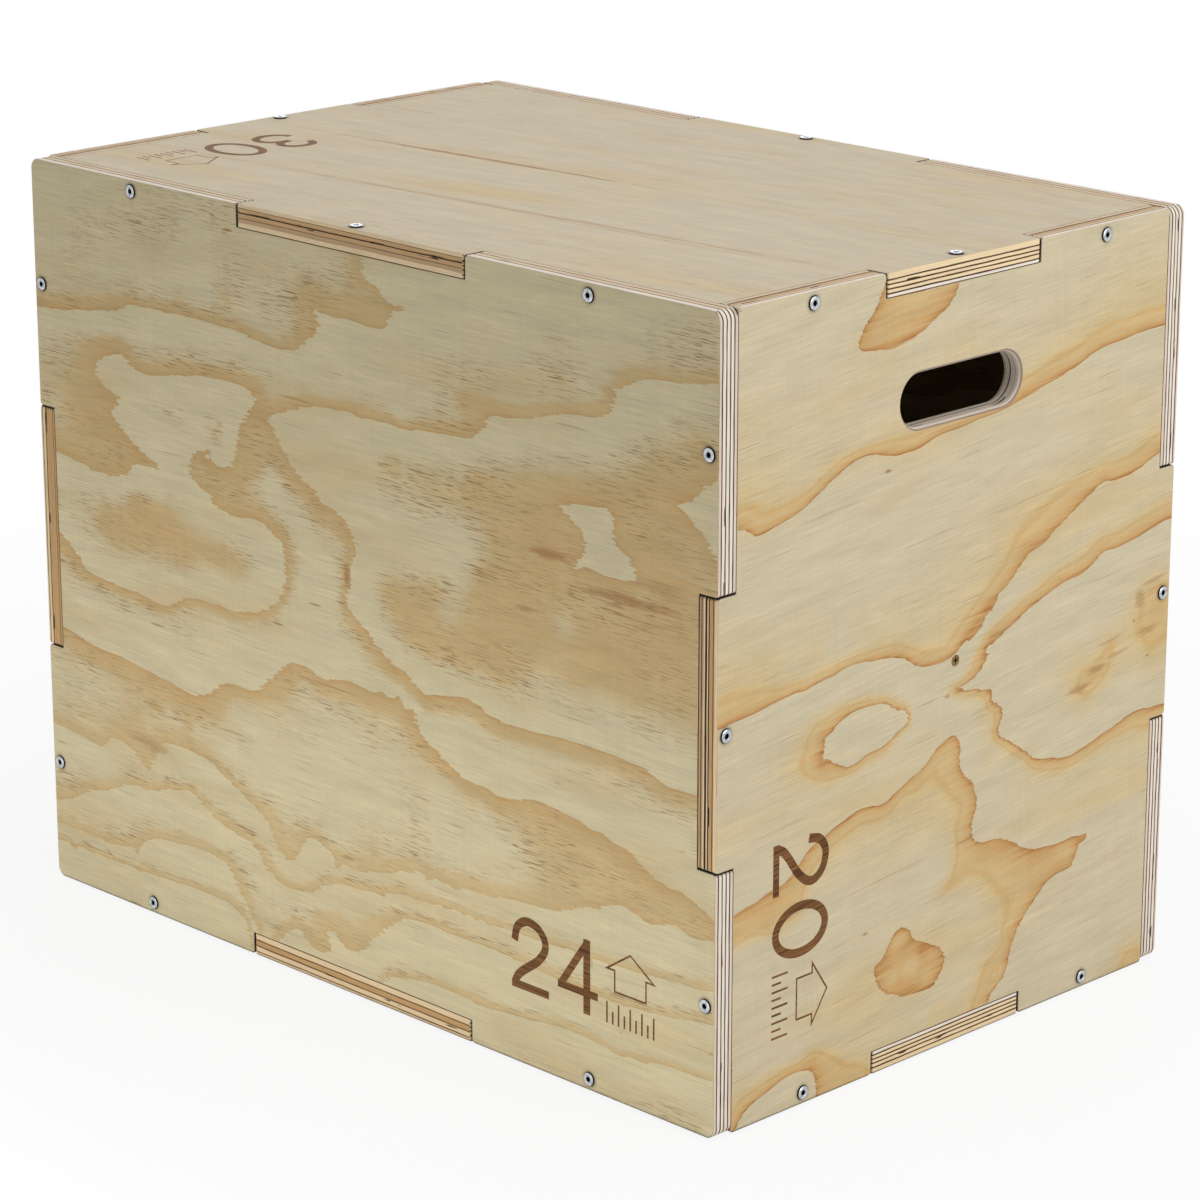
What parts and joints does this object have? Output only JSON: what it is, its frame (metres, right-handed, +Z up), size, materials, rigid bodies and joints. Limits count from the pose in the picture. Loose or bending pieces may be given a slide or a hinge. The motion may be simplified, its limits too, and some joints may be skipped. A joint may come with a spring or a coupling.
{
  "type": "plyo box",
  "caption": "Closed plywood box for jump training: finger-jointed panels held by hex-socket screws, a brace inside and a hand slot in each end; stands on any face.",
  "frame": {"origin": "middle of the outer face of the bottom panel", "axes": "+Z up, +X along the length towards the right end, -Y is the front"},
  "size_m": [0.765, 0.511, 0.6126],
  "materials": {
    "pine_plywood": "sanded bare pine veneer, ply layers bare on the edges",
    "zinc_screw": "bright zinc plate",
    "bronze_screw": "bronze-coloured plate on steel"
  },
  "bodies": {
    "root": {"back_panel": "pine_plywood", "back_to_bottom_screws": "zinc_screw", "back_to_left_end_screws": "zinc_screw", "back_to_right_end_screws": "zinc_screw", "back_to_top_screws": "zinc_screw", "bottom_panel": "pine_plywood", "bottom_to_back_screw": "zinc_screw", "bottom_to_front_screw": "zinc_screw", "bottom_to_left_end_screw": "zinc_screw", "bottom_to_right_end_screw": "zinc_screw", "centre_brace": "pine_plywood", "front_panel": "pine_plywood", "front_to_bottom_screws": "zinc_screw", "front_to_left_end_screws": "zinc_screw", "front_to_right_end_screws": "zinc_screw", "front_to_top_screws": "zinc_screw", "left_end_brace_screw": "bronze_screw", "left_end_panel": "pine_plywood", "left_end_to_back_screw": "zinc_screw", "left_end_to_bottom_screws": "zinc_screw", "left_end_to_front_screw": "zinc_screw", "left_end_to_top_screws": "zinc_screw", "right_end_brace_screw": "bronze_screw", "right_end_panel": "pine_plywood", "right_end_to_back_screw": "zinc_screw", "right_end_to_bottom_screws": "zinc_screw", "right_end_to_front_screw": "zinc_screw", "right_end_to_top_screws": "zinc_screw", "top_panel": "pine_plywood", "top_to_back_screw": "zinc_screw", "top_to_front_screw": "zinc_screw", "top_to_left_end_screw": "zinc_screw", "top_to_right_end_screw": "zinc_screw"}
  },
  "joints": []
}
